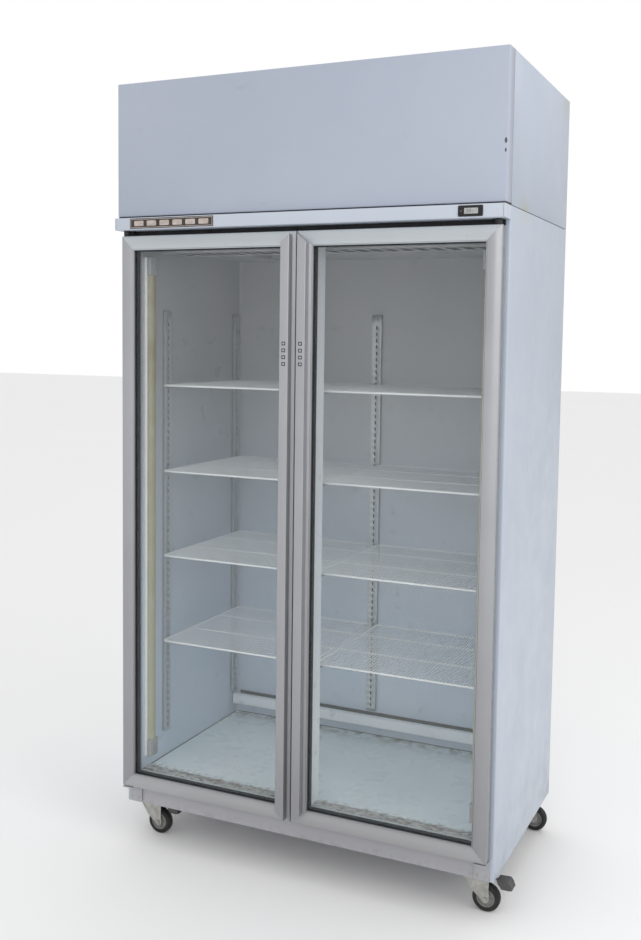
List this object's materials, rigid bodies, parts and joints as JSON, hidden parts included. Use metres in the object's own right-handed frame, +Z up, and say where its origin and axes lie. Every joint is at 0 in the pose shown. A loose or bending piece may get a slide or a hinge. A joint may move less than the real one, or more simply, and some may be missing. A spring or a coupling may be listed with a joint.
{
  "type": "glass door merchandiser",
  "caption": "Upright double-door refrigerated display cabinet with glazed aluminium-framed doors, wire shelves, a header over the doors and swivel castors.",
  "frame": {"origin": "on the floor under the middle of the whole object's box", "axes": "+X to the right seen from the front, +Y from the doors towards the back, +Z up"},
  "size_m": [1.169, 0.676, 2.2],
  "materials": {
    "white_paint": "satin white powder coat with a cool tint, scuffed",
    "base_paint": "matt light grey paint, dusty",
    "liner_white": "satin white liner",
    "anodised": "satin silver anodised",
    "glass": "clear double glazing",
    "gasket": "pale grey magnetic seal",
    "white_wire": "plastic-coated wire, white",
    "zinc": "zinc plated pressing, dulled",
    "black_rubber": "black rubber tread on a grey hub",
    "grey_plastic": "dark grey moulded plastic",
    "lamp_cover": "milky diffuser, yellowed",
    "black_enamel": "black enamel",
    "fin_aluminium": "thin fins on copper tube",
    "copper": "drawn copper tube"
  },
  "bodies": {
    "cabinet": {"base_frame": "base_paint", "centre_mullion": "liner_white", "compressor": "black_enamel", "condenser_coil": "fin_aluminium", "control_box": "grey_plastic", "display_bezel": "black_enamel", "evaporator_coil": "fin_aluminium", "evaporator_housing": "liner_white", "header_front_panel": "white_paint", "header_surround": "white_paint", "hinge_bracket_left": "white_paint", "hinge_bracket_right": "white_paint", "lamp_left": "lamp_cover", "lamp_right": "lamp_cover", "liner_back": "liner_white", "liner_floor": "liner_white", "liner_roof": "liner_white", "liner_wall_left": "liner_white", "liner_wall_right": "liner_white", "outer_shell": "white_paint", "pilaster_left_front": "anodised", "pilaster_left_rear": "anodised", "pilaster_rear_centre": "anodised", "pilaster_right_front": "anodised", "pilaster_right_rear": "anodised", "rear_guard_rail": "liner_white", "shelf_left_1": "white_wire", "shelf_left_2": "white_wire", "shelf_left_3": "white_wire", "shelf_left_4": "white_wire", "shelf_right_1": "white_wire", "shelf_right_2": "white_wire", "shelf_right_3": "white_wire", "shelf_right_4": "white_wire", "suction_pipe": "copper", "trim_strip": "white_paint"},
    "left_door": {"left_door_bottom_rail": "anodised", "left_door_gasket": "gasket", "left_door_glass_unit": "glass", "left_door_hinge_stile": "anodised", "left_door_meeting_stile": "anodised", "left_door_top_rail": "anodised"},
    "right_door": {"right_door_bottom_rail": "anodised", "right_door_gasket": "gasket", "right_door_glass_unit": "glass", "right_door_hinge_stile": "anodised", "right_door_meeting_stile": "anodised", "right_door_top_rail": "anodised"},
    "condenser_fan": {"condenser_fan": "grey_plastic"},
    "evaporator_fan": {"evaporator_fan": "grey_plastic"},
    "castor_front_left": {"castor_fork_front_left": "zinc"},
    "wheel_front_left": {"castor_wheel_front_left": "black_rubber"},
    "pedal_front_left": {"brake_pedal_front_left": "grey_plastic"},
    "castor_front_right": {"castor_fork_front_right": "zinc"},
    "wheel_front_right": {"castor_wheel_front_right": "black_rubber"},
    "pedal_front_right": {"brake_pedal_front_right": "grey_plastic"},
    "castor_rear_left": {"castor_fork_rear_left": "zinc"},
    "wheel_rear_left": {"castor_wheel_rear_left": "black_rubber"},
    "castor_rear_right": {"castor_fork_rear_right": "zinc"},
    "wheel_rear_right": {"castor_wheel_rear_right": "black_rubber"}
  },
  "joints": [
    {"name": "left_door_hinge", "type": "hinge", "parent": "cabinet", "child": "left_door", "pos_m": [-0.5625, -0.306, 0.172], "axis": [0, 0, -1], "range_deg": [0, 100]},
    {"name": "right_door_hinge", "type": "hinge", "parent": "cabinet", "child": "right_door", "pos_m": [0.5235, -0.306, 0.172], "axis": [0, 0, 1], "range_deg": [0, 100]},
    {"name": "condenser_fan_spin", "type": "hinge", "parent": "cabinet", "child": "condenser_fan", "pos_m": [0.2805, 0.202, 1.985], "axis": [0, 1, 0], "continuous": true},
    {"name": "evaporator_fan_spin", "type": "hinge", "parent": "cabinet", "child": "evaporator_fan", "pos_m": [-0.2895, 0.124, 1.872], "axis": [0, 0, 1], "continuous": true},
    {"name": "castor_front_left_swivel", "type": "hinge", "parent": "cabinet", "child": "castor_front_left", "pos_m": [-0.5285, -0.216, 0.0965], "axis": [0, 0, 1], "continuous": true},
    {"name": "wheel_front_left_spin", "type": "hinge", "parent": "castor_front_left", "child": "wheel_front_left", "pos_m": [-0.5065, -0.216, 0.0375], "axis": [0, 1, 0], "continuous": true},
    {"name": "brake_pedal_front_left_press", "type": "hinge", "parent": "castor_front_left", "child": "pedal_front_left", "pos_m": [-0.4915, -0.216, 0.086], "axis": [0, 1, 0], "range_deg": [0, 8]},
    {"name": "castor_front_right_swivel", "type": "hinge", "parent": "cabinet", "child": "castor_front_right", "pos_m": [0.4895, -0.216, 0.0965], "axis": [0, 0, 1], "continuous": true},
    {"name": "wheel_front_right_spin", "type": "hinge", "parent": "castor_front_right", "child": "wheel_front_right", "pos_m": [0.5115, -0.216, 0.0375], "axis": [0, 1, 0], "continuous": true},
    {"name": "brake_pedal_front_right_press", "type": "hinge", "parent": "castor_front_right", "child": "pedal_front_right", "pos_m": [0.5265, -0.216, 0.086], "axis": [0, 1, 0], "range_deg": [0, 8]},
    {"name": "castor_rear_left_swivel", "type": "hinge", "parent": "cabinet", "child": "castor_rear_left", "pos_m": [-0.5285, 0.301, 0.0965], "axis": [0, 0, 1], "continuous": true},
    {"name": "wheel_rear_left_spin", "type": "hinge", "parent": "castor_rear_left", "child": "wheel_rear_left", "pos_m": [-0.5065, 0.301, 0.0375], "axis": [0, 1, 0], "continuous": true},
    {"name": "castor_rear_right_swivel", "type": "hinge", "parent": "cabinet", "child": "castor_rear_right", "pos_m": [0.4895, 0.301, 0.0965], "axis": [0, 0, 1], "continuous": true},
    {"name": "wheel_rear_right_spin", "type": "hinge", "parent": "castor_rear_right", "child": "wheel_rear_right", "pos_m": [0.5115, 0.301, 0.0375], "axis": [0, 1, 0], "continuous": true}
  ]
}
